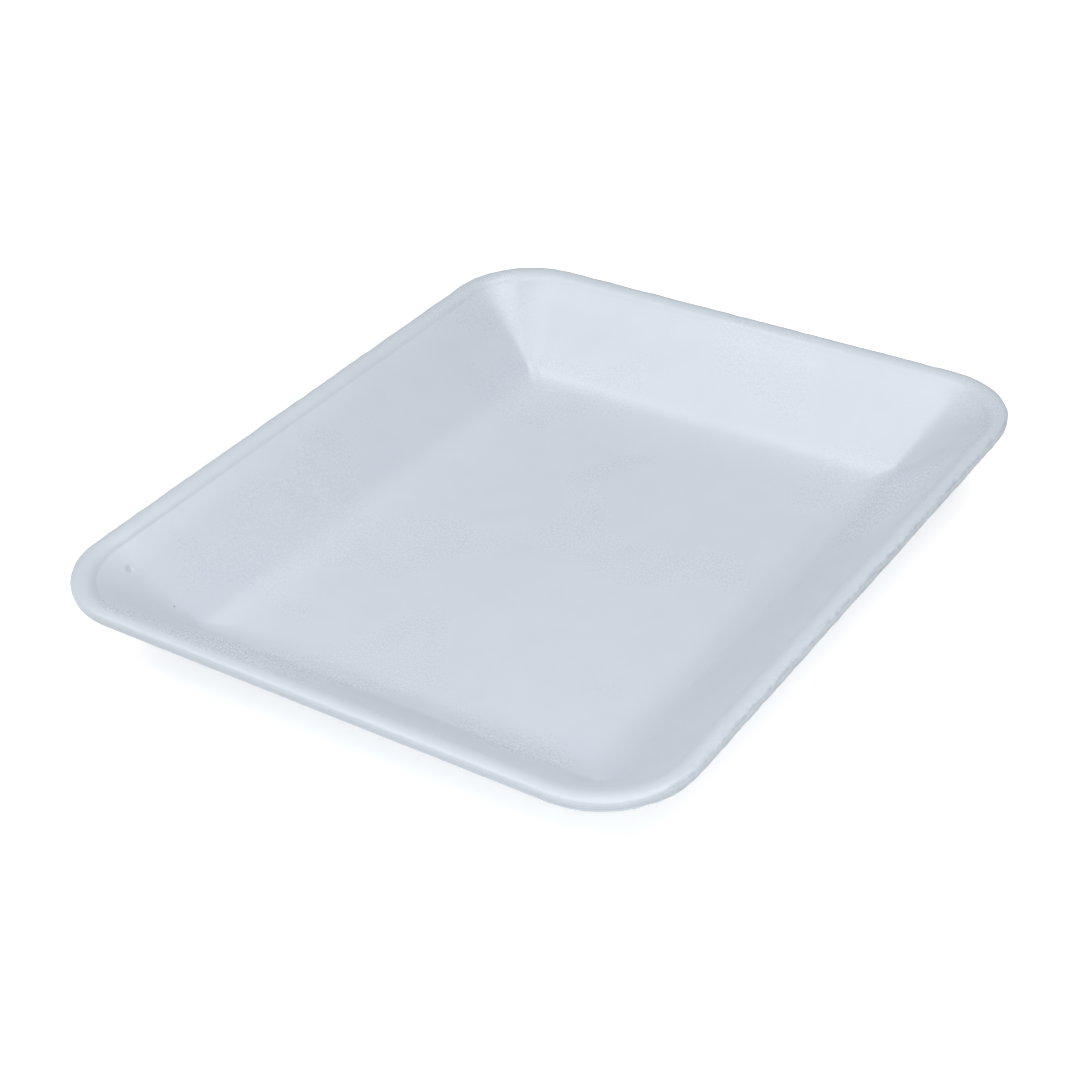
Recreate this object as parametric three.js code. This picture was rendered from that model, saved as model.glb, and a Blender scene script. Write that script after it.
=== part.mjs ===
// Shallow foam food tray: one sheet of polystyrene foam, pressed to shape and trimmed.
//
// The tray stands on its flat floor. Its walls lean out at one angle all round, and the wall
// corners are cones that narrow from the wide rim corner to a tight corner at the wall foot.
// The rim is a crowned lip with a sheared edge, and a faint shoulder lies just inside it.
// The sheet keeps its thickness everywhere, so the underside is the food side set down by it.
//
// Millimetres, +Z up. The origin is the centre of the resting face. X runs along the short
// side and Y along the long side.

import * as THREE from "three";
import { mergeVertices } from "three/addons/utils/BufferGeometryUtils.js";

// Overall sizes
const trayLength = 215;
const trayWidth = 180;
const trayHeight = 27;
const sheetThickness = 3.6;

// Corners seen from above
const rimCorner = 25;
const floorCorner = 3;

// Wall, and the sweep that joins it to the floor
const wallAngle = 40;
const floorSweep = 19;

// Crowned lip: its arc tilts down by these angles on the outer and the inner side
const crownRadius = 5;
const crownOuterTilt = 20;
const crownInnerTilt = 48;

// Shoulder between the lip and the wall: it eases to a flatter angle and back to the wall's
const shoulderAngle = 31;
const shoulderHollow = 1.5;
const shoulderRound = 46;

// Sheared edge: a burnished band above, and a band below it that the die left set back
const edgeRound = 0.6;
const edgeSetback = 0.3;
const edgeSetbackHeight = 1.3;
const edgeUnderRound = 0.7;
const edgeUnderTilt = 8;

// Facets
const cornerSteps = 12;
const crownOuterSteps = 3;
const crownInnerSteps = 6;
const sweepSteps = 9;
const blendSteps = 3;
const roundSteps = 3;

const radians = THREE.MathUtils.degToRad;

// Draws one side of the tray's section as arcs and lines, each tangent to the last.
// x is the inset from the trimmed edge and y is the height. A heading of 0 points to the
// middle of the tray, and a negative one points down.
class SectionPen {
  constructor(x, y, heading) {
    this.at = new THREE.Vector2(x, y);
    this.heading = heading;
    this.points = [this.sample(this.at, heading)];
  }

  // A point of the section, with the unit normal that points into the foam.
  sample(point, heading) {
    const into = new THREE.Vector2(Math.sin(radians(heading)), -Math.cos(radians(heading)));
    return { point: point.clone(), into };
  }

  line(length) {
    const along = new THREE.Vector2(Math.cos(radians(this.heading)), Math.sin(radians(this.heading)));
    this.at.addScaledVector(along, length);
    this.points.push(this.sample(this.at, this.heading));
    return this;
  }

  // Turns to a new heading along an arc. It turns right for a crest and left for a hollow.
  bendTo(heading, radius, steps) {
    const side = Math.sign(heading - this.heading);
    const toCentre = radians(this.heading + 90 * side);
    const centre = new THREE.Vector2(Math.cos(toCentre), Math.sin(toCentre))
      .multiplyScalar(radius)
      .add(this.at);
    const start = radians(this.heading - 90 * side);
    const end = radians(heading - 90 * side);
    const arc = new THREE.EllipseCurve(centre.x, centre.y, radius, radius, start, end, side < 0);
    arc.getPoints(steps).forEach((point, step) => {
      if (step === 0) return;
      const turned = this.heading + ((heading - this.heading) * step) / steps;
      this.points.push(this.sample(point, turned));
      this.at.copy(point);
    });
    this.heading = heading;
    return this;
  }
}

// The crown's centre, which places both faces of the lip.
const crownCentre = new THREE.Vector2(
  edgeRound + (crownRadius - edgeRound) * Math.sin(radians(crownOuterTilt)),
  trayHeight - crownRadius,
);
const edgeTop = crownCentre.y + (crownRadius - edgeRound) * Math.cos(radians(crownOuterTilt));

// The food side, from the top of the sheared edge to where the flat floor starts.
function foodSide() {
  const pen = new SectionPen(0, edgeTop, 90)
    .bendTo(crownOuterTilt, edgeRound, roundSteps)
    .bendTo(0, crownRadius, crownOuterSteps)
    .bendTo(-crownInnerTilt, crownRadius, crownInnerSteps)
    .bendTo(-shoulderAngle, shoulderHollow, blendSteps)
    .bendTo(-wallAngle, shoulderRound, blendSteps);
  const wallFoot = sheetThickness + floorSweep * (1 - Math.cos(radians(wallAngle)));
  pen.line((pen.at.y - wallFoot) / Math.sin(radians(wallAngle)));
  const wallFootInset = pen.at.x;
  pen.bendTo(0, floorSweep, sweepSteps);
  return { points: pen.points, wallFootInset };
}

const { points: foodPoints, wallFootInset } = foodSide();

// The corner radius shrinks evenly from the rim to the wall foot, and then stays.
function cornerAt(inset) {
  const taper = (rimCorner - floorCorner) / wallFootInset;
  return Math.max(floorCorner, rimCorner - inset * taper);
}

const foodRings = foodPoints.map(({ point }) => ({
  inset: point.x,
  height: point.y,
  corner: cornerAt(point.x),
}));

// The underside is the food side moved down by the sheet, up to the lip's crown. Each of its
// corner arcs shares the centre of the arc above it, so the sheet is as thick in the corners.
const undersideRings = foodPoints
  .filter(({ point }) => point.x > crownCentre.x)
  .map(({ point, into }) => {
    const inset = point.x + into.x * sheetThickness;
    return {
      inset,
      height: point.y + into.y * sheetThickness,
      corner: cornerAt(point.x) + point.x - inset,
    };
  });

// Under the lip the sheet runs out to the edge, rounds up, and steps out at the sheared band.
function edgeRings() {
  const underCrown = crownRadius - sheetThickness;
  const pen = new SectionPen(
    crownCentre.x - underCrown * Math.sin(radians(edgeUnderTilt)),
    crownCentre.y + underCrown * Math.cos(radians(edgeUnderTilt)),
    180 + edgeUnderTilt,
  );
  const roundReach = edgeUnderRound * (1 + Math.sin(radians(edgeUnderTilt)));
  pen.line((pen.at.x - roundReach - edgeSetback) / Math.cos(radians(edgeUnderTilt)));
  pen.bendTo(90, edgeUnderRound, roundSteps);
  const bandBottom = pen.at.y + edgeSetbackHeight - edgeUnderRound;
  const outline = pen.points.map(({ point }) => [point.x, point.y]);
  outline.push([edgeSetback, bandBottom], [0, bandBottom + edgeSetback]);
  return outline.map(([inset, height]) => ({ inset, height, corner: cornerAt(inset) }));
}

// One ring is the tray's outline at an inset: four corner arcs that lines join.
function ringPoints({ inset, height, corner }) {
  const reachX = trayWidth / 2 - inset - corner;
  const reachY = trayLength / 2 - inset - corner;
  const centres = [[1, 1], [-1, 1], [-1, -1], [1, -1]];
  return centres.flatMap(([signX, signY], quarter) => {
    const points = [];
    for (let step = 0; step <= cornerSteps; step++) {
      const angle = (quarter + step / cornerSteps) * (Math.PI / 2);
      points.push([
        signX * reachX + corner * Math.cos(angle),
        signY * reachY + corner * Math.sin(angle),
        height,
      ]);
    }
    return points;
  });
}

// Skins neighbouring rings with quads and closes the first and the last ring with a flat fan.
function loftClosed(rings) {
  const loops = rings.map(ringPoints);
  const count = loops[0].length;
  const positions = loops.flat(2);
  const index = [];
  for (let ring = 0; ring + 1 < loops.length; ring++) {
    for (let step = 0; step < count; step++) {
      const next = (step + 1) % count;
      const [a, b] = [ring * count + step, ring * count + next];
      const [c, d] = [a + count, b + count];
      index.push(a, b, d, a, d, c);
    }
  }
  const cap = (ring, height, flip) => {
    const middle = positions.length / 3;
    positions.push(0, 0, height);
    for (let step = 0; step < count; step++) {
      const a = ring * count + step;
      const b = ring * count + ((step + 1) % count);
      index.push(...(flip ? [middle, b, a] : [middle, a, b]));
    }
  };
  cap(0, rings[0].height, true);
  cap(rings.length - 1, rings[rings.length - 1].height, false);
  const geometry = new THREE.BufferGeometry();
  geometry.setAttribute("position", new THREE.Float32BufferAttribute(positions, 3));
  geometry.setIndex(index);
  const solid = mergeVertices(geometry, 1e-4);
  solid.computeVertexNormals();
  return solid;
}

// The skin starts at the resting face, climbs outside to the edge and comes back down inside.
function trayBody() {
  const rings = [...undersideRings.reverse(), ...edgeRings(), ...foodRings];
  const foam = new THREE.MeshStandardMaterial({
    color: new THREE.Color().setRGB(0.82, 0.855, 0.895, THREE.SRGBColorSpace),
    roughness: 0.55,
    metalness: 0,
  });
  const body = new THREE.Mesh(loftClosed(rings), foam);
  body.name = "foam_tray";
  return body;
}

const foamTray = new THREE.Group();
foamTray.add(trayBody());

export default foamTray;
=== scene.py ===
import math
import bpy
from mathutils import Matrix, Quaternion, Vector


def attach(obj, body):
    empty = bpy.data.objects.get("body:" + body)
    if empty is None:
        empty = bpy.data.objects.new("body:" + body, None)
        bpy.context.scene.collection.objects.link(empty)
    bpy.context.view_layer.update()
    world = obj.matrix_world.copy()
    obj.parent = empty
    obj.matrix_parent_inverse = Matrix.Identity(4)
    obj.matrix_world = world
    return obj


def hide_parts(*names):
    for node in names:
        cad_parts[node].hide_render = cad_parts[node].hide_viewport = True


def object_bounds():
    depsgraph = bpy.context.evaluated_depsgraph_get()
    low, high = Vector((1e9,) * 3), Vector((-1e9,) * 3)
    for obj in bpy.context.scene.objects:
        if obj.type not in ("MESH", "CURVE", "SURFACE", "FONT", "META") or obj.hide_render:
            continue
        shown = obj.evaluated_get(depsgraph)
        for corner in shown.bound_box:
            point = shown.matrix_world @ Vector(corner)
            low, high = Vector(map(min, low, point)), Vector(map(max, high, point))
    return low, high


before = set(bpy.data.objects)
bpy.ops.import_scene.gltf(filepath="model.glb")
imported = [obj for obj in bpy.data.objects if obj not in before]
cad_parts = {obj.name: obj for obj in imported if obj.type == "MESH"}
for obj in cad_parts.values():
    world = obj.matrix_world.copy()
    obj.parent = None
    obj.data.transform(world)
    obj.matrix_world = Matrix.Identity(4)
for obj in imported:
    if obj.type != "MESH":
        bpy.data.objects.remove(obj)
cadLow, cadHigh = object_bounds()
mm = 0.001
print("frame loaded")


class Wire:  # an output socket whose operators add Math nodes
    def __init__(self, bench, socket):
        self.bench = bench
        self.socket = socket

    def maths(self, operation, *values):
        return self.bench.add("ShaderNodeMath", {"operation": operation}, dict(enumerate(values)))

    def __add__(self, other):
        return self.maths("ADD", self, other)

    def __sub__(self, other):
        return self.maths("SUBTRACT", self, other)

    def __rsub__(self, other):
        return self.maths("SUBTRACT", other, self)

    def __mul__(self, other):
        return self.maths("MULTIPLY", self, other)

    def __truediv__(self, other):
        return self.maths("DIVIDE", self, other)

    def __rtruediv__(self, other):
        return self.maths("DIVIDE", other, self)

    __radd__ = __add__
    __rmul__ = __mul__

    def output(self, name):  # another output of the same node
        return Wire(self.bench, self.socket.node.outputs[name])


class Bench:  # adds nodes to one tree
    def __init__(self, tree):
        self.tree = tree

    def add(self, kind, settings=None, sockets=None, out=0):
        node = self.tree.nodes.new(kind)
        for name, value in (settings or {}).items():
            setattr(node, name, value)
        for key, value in (sockets or {}).items():
            if isinstance(value, Wire):
                self.tree.links.new(value.socket, node.inputs[key])
            else:
                node.inputs[key].default_value = value
        return Wire(self, node.outputs[out]) if node.outputs else node

    def vector(self, operation, *values, out=0):
        return self.add("ShaderNodeVectorMath", {"operation": operation}, dict(enumerate(values)), out)

    def scaled(self, vector, factor):
        return self.add("ShaderNodeVectorMath", {"operation": "SCALE"}, {0: vector, "Scale": factor})

    def xyz(self, x, y, z):
        return self.add("ShaderNodeCombineXYZ", None, {0: x, 1: y, 2: z})

    def noise(self, place, grain, detail=2.0, roughness=0.5):  # grain is the size of one bump
        sockets = {"Vector": place, "Scale": 0.5 / grain, "Detail": detail, "Roughness": roughness}
        return self.add("ShaderNodeTexNoise", None, sockets)

    def ramp(self, value, low, high, toLow=0.0, toHigh=1.0):
        settings = {"interpolation_type": "SMOOTHSTEP"}
        return self.add("ShaderNodeMapRange", settings, {0: value, 1: low, 2: high, 3: toLow, 4: toHigh})

    def tint(self, factor, a, b):
        return self.add("ShaderNodeMix", {"data_type": "RGBA"}, {0: factor, 6: a, 7: b}, 2)


def linear(red, green, blue):  # a colour as a screen shows it, made linear
    values = [c / 12.92 if c <= 0.04045 else ((c + 0.055) / 1.055) ** 2.4 for c in (red, green, blue)]
    return (*values, 1.0)


# Tray: its section, from the middle of the resting face round the lip to the middle of the floor

trayShape = {
    "length": cadHigh.y - cadLow.y,
    "width": cadHigh.x - cadLow.x,
    "height": cadHigh.z - cadLow.z,
    "sheet": 3.6 * mm,
    "rimCorner": 25 * mm,
    "footCorner": 3 * mm,
    "wallAngle": 40,
    "floorSweep": 19 * mm,
    "crownRadius": 5 * mm,
    "crownOuterTilt": 20,
    "crownInnerTilt": 48,
    "shoulderAngle": 31,
    "shoulderHollow": 1.5 * mm,
    "shoulderRound": 46 * mm,
    "edgeRound": 0.6 * mm,
    "edgeSetback": 0.3 * mm,
    "edgeSetbackHeight": 1.3 * mm,
    "edgeUnderRound": 0.7 * mm,
    "edgeUnderTilt": 8,
    "bandStepRound": 0.12 * mm,
    "floorRings": 16,
    "undersideRings": 9,
    "wallRings": 14,
    "edgeSteps": 5,
    "crownSteps": 14,
    "blendSteps": 3,
    "sweepSteps": 12,
    "cornerSteps": 40,
    "sideSteps": 140,
    "reliefDepth": 0.012 * mm,
    "reliefGrain": 2.2 * mm,
    "waverDepth": 0.02 * mm,
    "waverGrain": 38 * mm,
    "trimDepth": 0.18 * mm,
    "trimGrain": 2.2 * mm,
    "trimFade": 2.4 * mm,  # how far in over the lip the torn edge dies out
    "tearShows": (0.35, 0.7),  # the noise values between which the edge is torn
    "frontTrimShare": 0.2,
    "frontFade": (3 * mm, 11 * mm),  # how far from the front the edge is cut cleaner
    "centreAt": (6 * mm, -8 * mm, 0),
    "centreReach": (34 * mm, 26 * mm),
    "centreDepth": 0.06 * mm,
    "centreGrain": 7 * mm,
    "seed": 11,
}


class SectionPen:  # arcs and lines in (inset, height); a heading of 0 points to the tray's middle
    def __init__(self, inset, height, heading):
        self.inset = inset
        self.height = height
        self.heading = heading
        self.points = []
        self.mark()

    def mark(self):
        angle = math.radians(self.heading)
        self.points.append((self.inset, self.height, math.sin(angle), -math.cos(angle)))

    def line(self, length, steps=1):
        angle = math.radians(self.heading)
        for _ in range(steps):
            self.inset += math.cos(angle) * length / steps
            self.height += math.sin(angle) * length / steps
            self.mark()

    def bendTo(self, heading, radius, steps):
        side = math.copysign(1, heading - self.heading)
        start = math.radians(self.heading)
        centreInset = self.inset - side * radius * math.sin(start)
        centreHeight = self.height + side * radius * math.cos(start)
        startHeading = self.heading
        for step in range(1, steps + 1):
            self.heading = startHeading + (heading - startHeading) * step / steps
            angle = math.radians(self.heading)
            self.inset = centreInset + side * radius * math.sin(angle)
            self.height = centreHeight - side * radius * math.cos(angle)
            self.mark()


def foodSide(s, crownCentre):
    tilt = math.radians(s["crownOuterTilt"])
    edgeTop = crownCentre[1] + (s["crownRadius"] - s["edgeRound"]) * math.cos(tilt)
    pen = SectionPen(0, edgeTop, 90)
    pen.bendTo(s["crownOuterTilt"], s["edgeRound"], s["edgeSteps"])
    pen.bendTo(-s["crownInnerTilt"], s["crownRadius"], s["crownSteps"])
    pen.bendTo(-s["shoulderAngle"], s["shoulderHollow"], s["blendSteps"])
    pen.bendTo(-s["wallAngle"], s["shoulderRound"], s["blendSteps"])
    wall = math.radians(s["wallAngle"])
    foot = s["sheet"] + s["floorSweep"] * (1 - math.cos(wall))
    pen.line((pen.height - foot) / math.sin(wall), s["wallRings"])
    footInset = pen.inset
    pen.bendTo(0, s["floorSweep"], s["sweepSteps"])
    return pen, footInset


def traySection(s):
    tilt = math.radians(s["crownOuterTilt"])
    crownCentre = (
        s["edgeRound"] + (s["crownRadius"] - s["edgeRound"]) * math.sin(tilt),
        s["height"] - s["crownRadius"],
    )
    pen, footInset = foodSide(s, crownCentre)
    floorStart = pen.inset

    def cornerAt(inset):  # shrinks evenly to the wall foot, then stays, and ends as a point
        shrunk = s["rimCorner"] - inset * (s["rimCorner"] - s["footCorner"]) / footInset
        return min(max(s["footCorner"], shrunk), s["width"] / 2 - inset)

    food = [(x, z, cornerAt(x)) for x, z, _, _ in pen.points]
    under = []
    for x, z, intoX, intoZ in pen.points:
        if x > crownCentre[0]:
            moved = x + intoX * s["sheet"]
            under.append((moved, z + intoZ * s["sheet"], cornerAt(x) + x - moved))
    inward = s["width"] / 2 - floorStart
    for share in [ring / s["floorRings"] for ring in range(1, s["floorRings"] + 1)]:
        x = floorStart + inward * share
        food.append((x, s["sheet"], cornerAt(x)))
    for share in [ring / s["undersideRings"] for ring in range(1, s["undersideRings"] + 1)]:
        x = floorStart + inward * share
        under.append((x, 0.0, cornerAt(x)))

    underTilt = math.radians(s["edgeUnderTilt"])
    underCrown = s["crownRadius"] - s["sheet"]
    edge = SectionPen(
        crownCentre[0] - underCrown * math.sin(underTilt),
        crownCentre[1] + underCrown * math.cos(underTilt),
        180 + s["edgeUnderTilt"],
    )
    reach = s["edgeUnderRound"] * (1 + math.sin(underTilt))
    edge.line((edge.inset - reach - s["edgeSetback"]) / math.cos(underTilt), 2)
    edge.bendTo(90, s["edgeUnderRound"], 4)
    edge.line(s["edgeSetbackHeight"] - s["edgeUnderRound"], 2)
    edge.bendTo(135, s["bandStepRound"], 2)
    rounds = 2 * s["bandStepRound"] * (1 - math.cos(math.pi / 4))
    edge.line((s["edgeSetback"] - rounds) / math.sin(math.pi / 4))
    edge.bendTo(90, s["bandStepRound"], 2)
    edgeTop = pen.points[0][1]
    edge.line(edgeTop - edge.height, 4)
    edgePoints = [(x, z, cornerAt(x)) for x, z, _, _ in edge.points[:-1]]

    rings = [(*p, 0.0) for p in reversed(under)]
    smoothRings = 3  # under the lip, before the edge rounds up
    rings += [(*p, 0.0 if i < smoothRings else 1.0) for i, p in enumerate(edgePoints)]
    rings += [(*p, max(0.0, 1 - p[0] / s["trimFade"])) for p in food]
    return rings


def sectionLine(rings):  # the section as a line of points that carry their corner radius and trim share
    mesh = bpy.data.meshes.new("traySection")
    mesh.from_pydata([(x, 0, z) for x, z, _, _ in rings], [(i, i + 1) for i in range(len(rings) - 1)], [])
    for name, column in (("cornerRadius", 2), ("trimShare", 3)):
        layer = mesh.attributes.new(name, "FLOAT", "POINT")
        layer.data.foreach_set("value", [ring[column] for ring in rings])
    line = bpy.data.objects.new("traySection", mesh)
    bpy.context.scene.collection.objects.link(line)
    return line


def sweepTree(s, material):
    tree = bpy.data.node_groups.new("sweepSectionRoundTray", "GeometryNodeTree")
    bench = Bench(tree)
    tree.interface.new_socket("Section", in_out="INPUT", socket_type="NodeSocketGeometry")
    for name in ("Length", "Width", "Relief Depth", "Relief Grain", "Waver Depth", "Waver Grain",
                 "Trim Depth", "Trim Grain", "Centre Depth", "Centre Grain"):
        tree.interface.new_socket(name, in_out="INPUT", socket_type="NodeSocketFloat")
    for name in ("Corner Steps", "Side Steps", "Seed"):
        tree.interface.new_socket(name, in_out="INPUT", socket_type="NodeSocketInt")
    tree.interface.new_socket("Tray", in_out="OUTPUT", socket_type="NodeSocketGeometry")
    given = bench.add("NodeGroupInput")
    section = given.output("Section")

    def attribute(name):
        return bench.add("GeometryNodeInputNamedAttribute", {"data_type": "FLOAT"}, {"Name": name})

    # Which ring of the section, and which step round it, each point of the grid is
    count = bench.add("GeometryNodeAttributeDomainSize", {"component": "MESH"}, {0: section})
    quarterSteps = given.output("Corner Steps") + given.output("Side Steps")
    columns = quarterSteps * 4 + 1
    grid = bench.add("GeometryNodeMeshGrid", None, {"Vertices X": count, "Vertices Y": columns})
    index = bench.add("GeometryNodeInputIndex")
    ring = index.maths("FLOOR", (index + 0.5) / columns)
    column = index - ring * columns
    quarter = column.maths("FLOOR", (column + 0.5) / quarterSteps)
    step = column - quarter * quarterSteps

    def fromSection(kind, value):
        sockets = {"Geometry": section, "Value": value, "Index": ring}
        return bench.add("GeometryNodeSampleIndex", {"data_type": kind, "domain": "POINT"}, sockets)

    sectionPlace = fromSection("FLOAT_VECTOR", bench.add("GeometryNodeInputPosition"))
    place = bench.add("ShaderNodeSeparateXYZ", None, {0: sectionPlace})
    inset, height = place.output("X"), place.output("Z")
    corner = fromSection("FLOAT", attribute("cornerRadius"))
    trim = fromSection("FLOAT", attribute("trimShare"))

    # Four corner arcs joined by sides, the same steps on every ring
    arcShare = step.maths("MINIMUM", step / given.output("Corner Steps"), 1.0)
    sideShare = step.maths("MAXIMUM", (step - given.output("Corner Steps")) / given.output("Side Steps"), 0.0)
    turn = (quarter + arcShare) * (math.pi / 2)
    here = (quarter + 0.5) * (math.pi / 2)
    there = here + math.pi / 2

    def along(operation, reach):
        start = here.maths(operation, here)
        end = here.maths(operation, there)
        sign = (start + (end - start) * sideShare) * math.sqrt(2)
        return sign * (reach * 0.5 - inset - corner) + corner * turn.maths(operation, turn)

    x = along("COSINE", given.output("Width"))
    y = along("SINE", given.output("Length"))
    around = bench.xyz(x, y, height)
    swept = bench.add("GeometryNodeSetPosition", None, {"Geometry": grid, "Position": around})
    swept = bench.add(
        "GeometryNodeStoreNamedAttribute",
        {"data_type": "FLOAT", "domain": "POINT"},
        {"Geometry": swept, "Name": "trimShare", "Value": trim},
    )
    closed = bench.add("GeometryNodeMergeByDistance", None, {"Geometry": swept, "Distance": 0.001 * mm})
    closed = bench.add("GeometryNodeFlipFaces", None, {0: closed})

    # Foam relief, a slow waver, the torn trim and the uneven middle of the floor, all pressed inwards
    position = bench.add("GeometryNodeInputPosition")
    shift = bench.xyz(given.output("Seed"), given.output("Seed") * 1.7, given.output("Seed") * -0.6)

    def bumps(grain, detail, offset):
        spot = bench.vector("ADD", bench.scaled(position, 0.5 / grain), bench.scaled(shift, offset))
        sockets = {"Vector": spot, "Scale": 1.0, "Detail": detail}
        return bench.add("ShaderNodeTexNoise", None, sockets)

    relief = bumps(given.output("Relief Grain"), 2.0, 1.0) * given.output("Relief Depth")
    waver = bumps(given.output("Waver Grain"), 0.0, 2.0) * given.output("Waver Depth")
    tear = bumps(given.output("Trim Grain"), 3.0, 3.0)
    sidewise = bench.add("ShaderNodeSeparateXYZ", None, {0: position}).output("Y")
    frontStart = given.output("Length") * -0.5
    untornFront = bench.ramp(sidewise - frontStart, *s["frontFade"], s["frontTrimShare"], 1.0)
    tornShare = attribute("trimShare") * bench.ramp(tear, *s["tearShows"]) * untornFront
    torn = tornShare * given.output("Trim Depth")
    reachX, reachY = s["centreReach"]
    offCentre = bench.vector("SUBTRACT", position, s["centreAt"])
    spot = bench.vector("MULTIPLY", offCentre, (1 / reachX, 1 / reachY, 0))
    middle = bench.ramp(bench.vector("LENGTH", spot, out="Value"), 1.0, 0.2)
    uneven = bumps(given.output("Centre Grain"), 1.0, 4.0) * middle * given.output("Centre Depth")
    inwards = (relief + waver + torn + uneven) * -1
    normal = bench.add("GeometryNodeInputNormal")
    offset = bench.scaled(normal, inwards)
    pressed = bench.add("GeometryNodeSetPosition", None, {"Geometry": closed, "Offset": offset})
    smooth = bench.add("GeometryNodeSetShadeSmooth", None, {"Geometry": pressed})
    real = bench.add("GeometryNodeRealizeInstances", None, {"Geometry": smooth})
    dressed = bench.add("GeometryNodeSetMaterial", None, {"Geometry": real, "Material": material})
    bench.add("NodeGroupOutput", None, {0: dressed})
    return tree


def foamMaterial():
    foam = {
        "pale": linear(0.825, 0.858, 0.893),
        "deep": linear(0.818, 0.852, 0.889),
        # grey of the cut edge, also used as painted shade in its pits, grooves and tears
        "cutGreyAndShade": linear(0.74, 0.78, 0.83),
        # grey of the speck, also the dimple's painted shade
        "speckGreyAndDimpleShade": linear(0.5, 0.52, 0.55),
        "roughness": 0.3,
        "ior": 1.59,
        "cell": 0.5 * mm,
        "cellDepth": 0.004 * mm,
        "fineGrain": 0.3 * mm,
        "fineDepth": 0.004 * mm,
        "blotchGrain": 5 * mm,
        "patchGrain": 24 * mm,
        "streakGrain": 0.9 * mm,
        "trimDepth": 0.12 * mm,
        "dimpleAt": (-78.9 * mm, -83.1 * mm, 21.8 * mm),
        "dimpleReach": 1.5 * mm,
        "dimpleDepth": 0.12 * mm,
        "shearLines": ((24.45 * mm, 1.0), (25.3 * mm, 0.8)),
        "shearLineWidth": 0.3 * mm,
        "shearLineDepth": 0.05 * mm,
        "shearWaver": 0.3 * mm,
        "shearWaverGrain": 4 * mm,
        "ragAt": (26.2 * mm, 26.8 * mm),
        "ragSoft": 0.15 * mm,
        "ragDepth": 0.1 * mm,
        "dashGrain": 1.1 * mm,
        "rightFrom": 70 * mm,
        "rightFade": 15 * mm,
        "frontTo": -98 * mm,
        "frontFade": 8 * mm,
        "speckAt": (-67.5 * mm, -80.4 * mm, 12.3 * mm),
        "speckReach": 0.4 * mm,
    }
    material = bpy.data.materials.new("foamSkin")
    material.use_nodes = True
    material.node_tree.nodes.clear()
    bench = Bench(material.node_tree)
    place = bench.add("ShaderNodeTexCoord").output("Object")
    trim = bench.add("ShaderNodeAttribute", {"attribute_name": "trimShare"}).output("Fac")

    cells = bench.add("ShaderNodeTexVoronoi", {"feature": "F1"}, {"Vector": place, "Scale": 1 / foam["cell"]})
    fine = bench.noise(place, foam["fineGrain"], 3.0, 0.6)
    blotch = bench.noise(place, foam["blotchGrain"], 3.0)
    patch = bench.ramp(bench.noise(place, foam["patchGrain"], 1.0), 0.35, 0.65)
    upright = bench.vector("MULTIPLY", place, (1, 1, 0.35))
    streak = bench.noise(upright, foam["streakGrain"], 4.0, 0.65)

    def spotMask(at, reach):
        return bench.ramp(bench.vector("DISTANCE", place, at, out="Value"), reach, reach * 0.3)

    dimple = spotMask(foam["dimpleAt"], foam["dimpleReach"])
    speck = spotMask(foam["speckAt"], foam["speckReach"])

    colour = bench.tint(bench.ramp(blotch, 0.3, 0.7), foam["deep"], foam["pale"])
    split = bench.add("ShaderNodeSeparateXYZ", None, {0: place})
    drift = bench.noise(bench.vector("MULTIPLY", place, (1, 1, 0.2)), foam["shearWaverGrain"])
    level = split.output("Z") + (drift - 0.5) * foam["shearWaver"]
    # the front mask leaves the cut edge's painted shade off at the front, so the front band is painted
    # lighter
    front = bench.ramp(split.output("Y"), foam["frontTo"] + foam["frontFade"], foam["frontTo"])
    right = bench.ramp(split.output("X"), foam["rightFrom"], foam["rightFrom"] + foam["rightFade"])
    # painted shade along the two shear grooves of the cut edge, which the bump also sinks
    lines = 0.0
    for height, strength in foam["shearLines"]:
        distance = level.maths("ABSOLUTE", level - height)
        lines = lines + bench.ramp(distance, foam["shearLineWidth"], 0.0, 0.0, strength)
    # painted shade in torn dashes along the top round of the cut edge, stronger on the right side and left
    # off at the front
    ragLow, ragHigh = foam["ragAt"]
    soft = foam["ragSoft"]
    rag = bench.ramp(level, ragLow, ragLow + soft) * bench.ramp(level, ragHigh, ragHigh - soft)
    dashPlace = bench.vector("MULTIPLY", place, (1, 1, 0.3))
    dashes = bench.ramp(bench.noise(dashPlace, foam["dashGrain"], 2.0), 0.46, 0.6)
    rag = rag * dashes * (right * 0.8 + 0.2) * (1 - front)
    # partly the cut foam's own streaky grey, partly painted shade in its pits; left off at the front, so the
    # front band is painted lighter
    colour = bench.tint(trim * bench.ramp(streak, 0.4, 0.7) * (0.7 - front * 0.7), colour, foam["cutGreyAndShade"])
    # painted shade in the shear grooves and the torn dashes
    colour = bench.tint(trim * (lines * 0.8 + rag * 0.7), colour, foam["cutGreyAndShade"])
    # the speck is a dark mark of the foam; the dimple's darkening is painted shade in its hollow
    colour = bench.tint(dimple * 0.2 + speck * 0.8, colour, foam["speckGreyAndDimpleShade"])

    roughness = foam["roughness"] + (fine - 0.5) * 0.1 + (patch - 0.5) * 0.06 + trim * 0.1
    height = cells * foam["cellDepth"] * (0.8 + patch * 0.2) + fine * foam["fineDepth"]
    height = height + trim * streak * (1 - front * 0.7) * foam["trimDepth"] - dimple * foam["dimpleDepth"]
    height = height - trim * (lines * foam["shearLineDepth"] + rag * foam["ragDepth"])
    bump = bench.add("ShaderNodeBump", None, {"Strength": 1.0, "Distance": 1.0, "Height": height})
    sockets = {"Base Color": colour, "Roughness": roughness, "IOR": foam["ior"], "Normal": bump}
    surface = bench.add("ShaderNodeBsdfPrincipled", None, sockets)
    bench.add("ShaderNodeOutputMaterial", None, {"Surface": surface})
    return material


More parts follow.
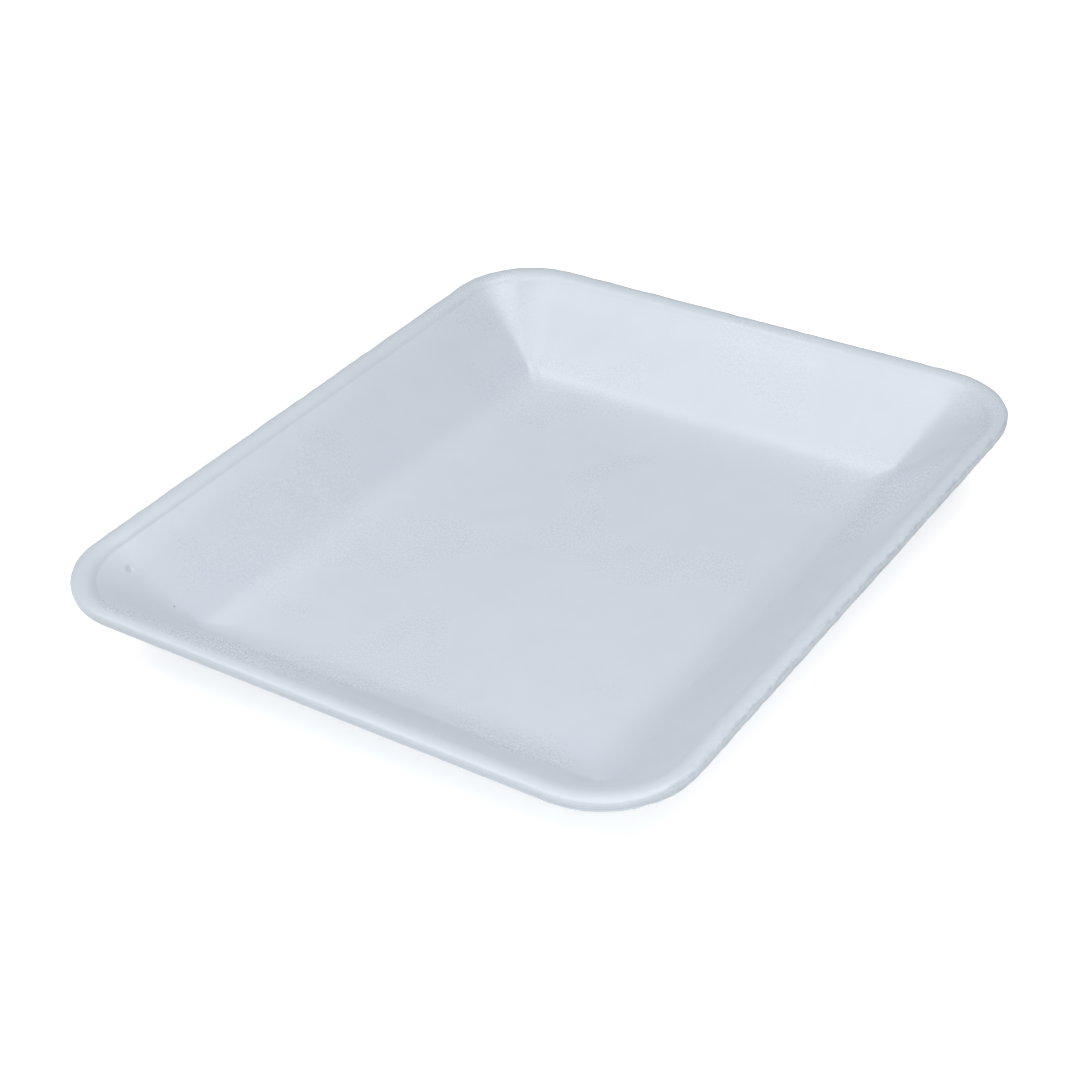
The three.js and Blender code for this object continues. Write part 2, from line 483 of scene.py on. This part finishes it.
def pressTray():
    s = trayShape
    line = sectionLine(traySection(s))
    tree = sweepTree(s, foamMaterial())
    inputs = {
        "Length": s["length"], "Width": s["width"],
        "Relief Depth": s["reliefDepth"], "Relief Grain": s["reliefGrain"],
        "Waver Depth": s["waverDepth"], "Waver Grain": s["waverGrain"],
        "Trim Depth": s["trimDepth"], "Trim Grain": s["trimGrain"],
        "Centre Depth": s["centreDepth"], "Centre Grain": s["centreGrain"],
        "Corner Steps": s["cornerSteps"], "Side Steps": s["sideSteps"], "Seed": s["seed"],
    }
    modifier = line.modifiers.new("sweep", "NODES")
    modifier.node_group = tree
    for item in tree.interface.items_tree:
        if item.name in inputs:
            modifier[item.identifier] = inputs[item.name]
    graph = bpy.context.evaluated_depsgraph_get()
    mesh = bpy.data.meshes.new_from_object(line.evaluated_get(graph), depsgraph=graph)
    line.modifiers.remove(modifier)
    bpy.data.objects.remove(line)
    tray = bpy.data.objects.new("foamTray", mesh)
    bpy.context.scene.collection.objects.link(tray)
    return tray


tray = pressTray()
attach(tray, "root")
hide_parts("foam_tray")
print("tray pressed:", len(tray.data.polygons), "faces")


# Studio: pale floor, soft lamps, white surround

studio = {
    "floorReach": 3.0,
    "floorColour": linear(0.93, 0.93, 0.93),
    "floorLift": 0.6,  # for camera and glossy rays only, so that the floor reads white
    "ambient": 0.14,  # what the white surround adds to every other ray
}


def studioFloor():
    reach = studio["floorReach"]
    mesh = bpy.data.meshes.new("studioFloor")
    corners = [(-reach, -reach, 0), (reach, -reach, 0), (reach, reach, 0), (-reach, reach, 0)]
    mesh.from_pydata(corners, [], [(0, 1, 2, 3)])
    floor = bpy.data.objects.new("studioFloor", mesh)
    bpy.context.scene.collection.objects.link(floor)
    material = bpy.data.materials.new("paleFloor")
    material.use_nodes = True
    material.node_tree.nodes.clear()
    bench = Bench(material.node_tree)
    path = bench.add("ShaderNodeLightPath")
    seen = path.maths("MAXIMUM", path.output("Is Camera Ray"), path.output("Is Glossy Ray"))
    matt = bench.add("ShaderNodeBsdfDiffuse", None, {"Color": studio["floorColour"]})
    lift = bench.add("ShaderNodeEmission", None, {"Strength": seen * studio["floorLift"]})
    both = bench.add("ShaderNodeAddShader", None, {0: matt, 1: lift})
    bench.add("ShaderNodeOutputMaterial", None, {"Surface": both})
    mesh.materials.append(material)


def studioWorld():
    world = bpy.data.worlds.new("studioWorld")
    bpy.context.scene.world = world
    world.use_nodes = True
    world.node_tree.nodes.clear()
    bench = Bench(world.node_tree)
    path = bench.add("ShaderNodeLightPath")
    seen = path.output("Is Camera Ray")
    ambient = bench.add("ShaderNodeBackground", None, {"Color": (1, 1, 1, 1), "Strength": studio["ambient"]})
    white = bench.add("ShaderNodeBackground", None, {"Color": (1, 1, 1, 1), "Strength": 1.0})
    mixed = bench.add("ShaderNodeMixShader", None, {0: seen, 1: ambient, 2: white})
    bench.add("ShaderNodeOutputWorld", None, {"Surface": mixed})


# Lamps: heading is measured from +X towards +Y, level is how bright one makes a facing sheet
lamps = {
    "softbox": {"heading": -103.4, "elevation": 66.4, "distance": 1.08, "size": (1.6, 0.9), "level": 0.848},
    "backRight": {"heading": 45, "elevation": 65, "distance": 1.2, "size": (0.5, 0.5), "level": 0.16},
    "behind": {"heading": 90, "elevation": 70, "distance": 1.2, "size": (0.5, 0.5), "level": 0.073},
    "left": {"heading": 180, "elevation": 65, "distance": 1.2, "size": (0.5, 0.5), "level": 0.042},
    "nearFront": {"heading": -56, "elevation": 25, "distance": 0.5, "size": (0.3, 0.22), "level": 0.128},
    "nearRight": {"heading": -20, "elevation": 25, "distance": 0.5, "size": (0.3, 0.22), "level": 0.07},
    "lowFront": {"heading": -90, "elevation": 2, "distance": 0.9, "size": (0.6, 0.05), "level": 0.077},
}


def studioLamps():
    target = Vector((0, 0, 10 * mm))
    for name, lamp in lamps.items():
        heading = math.radians(lamp["heading"])
        elevation = math.radians(lamp["elevation"])
        away = Vector((
            math.cos(heading) * math.cos(elevation),
            math.sin(heading) * math.cos(elevation),
            math.sin(elevation),
        ))
        data = bpy.data.lights.new(name, "AREA")
        data.shape = "RECTANGLE"
        data.size, data.size_y = lamp["size"]
        data.energy = lamp["level"] * (math.pi * lamp["distance"]) ** 2
        light = bpy.data.objects.new(name, data)
        light.location = target + away * lamp["distance"]
        if name != "softbox":  # which hangs level
            light.rotation_euler = (-away).to_track_quat("-Z", "Y").to_euler()
        bpy.context.scene.collection.objects.link(light)


viewpoint = {
    "eye": (273.5 * mm, -407.1 * mm, 335.1 * mm),
    "aim": (-1.26 * mm, -8.48 * mm, 13.5 * mm),
    "roll": -2.57,
    "lens": 72.6,
}


def studioCamera():
    data = bpy.data.cameras.new("camera")
    data.lens = viewpoint["lens"]
    data.sensor_width = 36.0
    data.sensor_fit = "HORIZONTAL"
    camera = bpy.data.objects.new("camera", data)
    camera.location = viewpoint["eye"]
    aimed = (Vector(viewpoint["aim"]) - Vector(viewpoint["eye"])).to_track_quat("-Z", "Y")
    camera.rotation_mode = "QUATERNION"
    camera.rotation_quaternion = aimed @ Quaternion((0, 0, 1), math.radians(viewpoint["roll"]))
    bpy.context.scene.collection.objects.link(camera)
    bpy.context.scene.camera = camera


studioFloor()
studioWorld()
studioLamps()
studioCamera()
bpy.context.scene.view_settings.view_transform = "Standard"
print("studio set")
